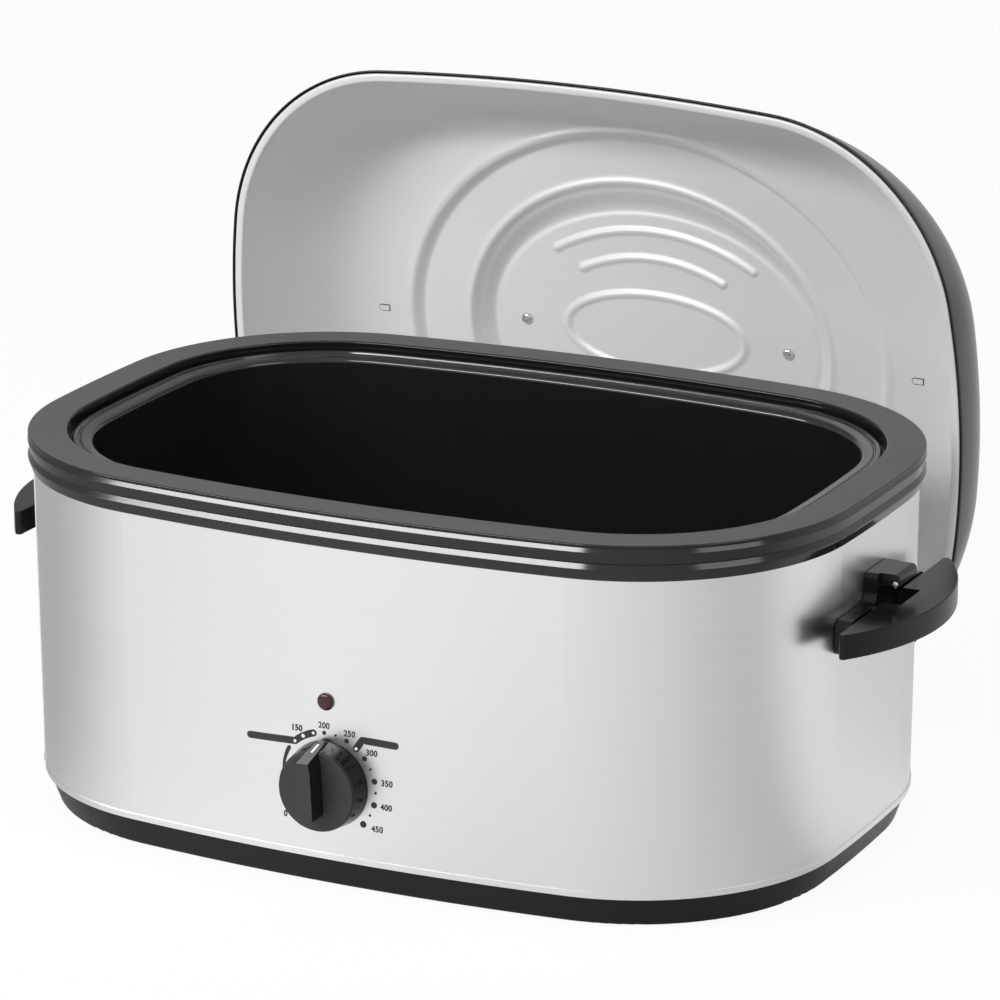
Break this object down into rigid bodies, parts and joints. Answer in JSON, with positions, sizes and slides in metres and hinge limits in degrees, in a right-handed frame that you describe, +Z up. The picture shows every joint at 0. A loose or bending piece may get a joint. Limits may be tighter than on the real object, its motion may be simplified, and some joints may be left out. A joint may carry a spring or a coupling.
{
  "type": "electric roaster oven",
  "caption": "Free-standing electric roaster oven: rounded brushed wall, lift-out roasting pan, turning thermostat knob, end handles and a domed lid standing behind it.",
  "frame": {"origin": "on the surface the oven stands on, under the middle of its body", "axes": "+Z up; -Y to the front, where the knob is; +X to the right-hand handle seen from the front"},
  "size_m": [0.6163, 0.6004, 0.3943],
  "materials": {
    "brushed_wall": "satin, brushed along the wall",
    "base_black": "satin moulding",
    "collar_black": "gloss side, satin top",
    "pan_enamel": "gloss enamel",
    "well_coating": "dull grey coating",
    "plain_sheet": "plain zinc coated sheet",
    "screw_steel": "bright plated",
    "foot_rubber": "matt rubber",
    "handle_black": "satin phenolic moulding",
    "knob_black": "satin moulding",
    "mark_white": "white paint",
    "lens_red": "clear dark red lens",
    "lamp_glass": "clear glass",
    "pale_plastic": "heat-proof plastic",
    "lead_sleeve": "woven sleeve",
    "glass_fibre": "glass wool",
    "heater_tape": "woven heater tape",
    "lid_black": "gloss enamel",
    "lid_aluminium": "satin",
    "lid_handle_black": "satin phenolic moulding"
  },
  "bodies": {
    "oven": {"base_skirt": "base_black", "base_plate": "plain_sheet", "rubber_feet": "foot_rubber", "base_screws": "screw_steel", "support_posts": "plain_sheet", "bottom_shield": "plain_sheet", "front_wrap": "brushed_wall", "rear_wrap": "brushed_wall", "collar_ring": "collar_black", "heating_well": "well_coating", "heater_band": "heater_tape", "insulation_wrap": "glass_fibre", "thermostat_bracket": "plain_sheet", "thermostat_case": "pale_plastic", "lamp_lens": "lens_red", "lamp_holder": "pale_plastic", "neon_lamp": "lamp_glass", "right_handle_bracket": "handle_black", "right_handle_grip": "handle_black", "left_handle_bracket": "handle_black", "left_handle_grip": "handle_black", "handle_screws": "screw_steel", "cord_bushing": "base_black", "terminal_block": "pale_plastic", "feed_lead": "lead_sleeve"},
    "knob": {"control_knob": "knob_black", "knob_mark": "mark_white", "control_shaft": "screw_steel"},
    "pan": {"roasting_pan": "pan_enamel"},
    "lid": {"lid_cover": "lid_black", "lid_liner": "lid_aluminium", "lid_handle": "lid_handle_black", "lid_washers": "screw_steel", "lid_screws": "screw_steel"}
  },
  "joints": [
    {"name": "knob_turn", "type": "hinge", "parent": "oven", "child": "knob", "pos_m": [-0.0054, -0.18086, 0.066], "axis": [0, 1, 0], "range_deg": [-128.4, 135.4]},
    {"name": "pan_lift", "type": "slide", "parent": "oven", "child": "pan", "axis": [0, 0, 1], "range_m": [0, 0.2]},
    {"name": "lid_lift", "type": "slide", "parent": "oven", "child": "lid", "axis": [0, 0, 1], "range_m": [0, 0.25]}
  ]
}
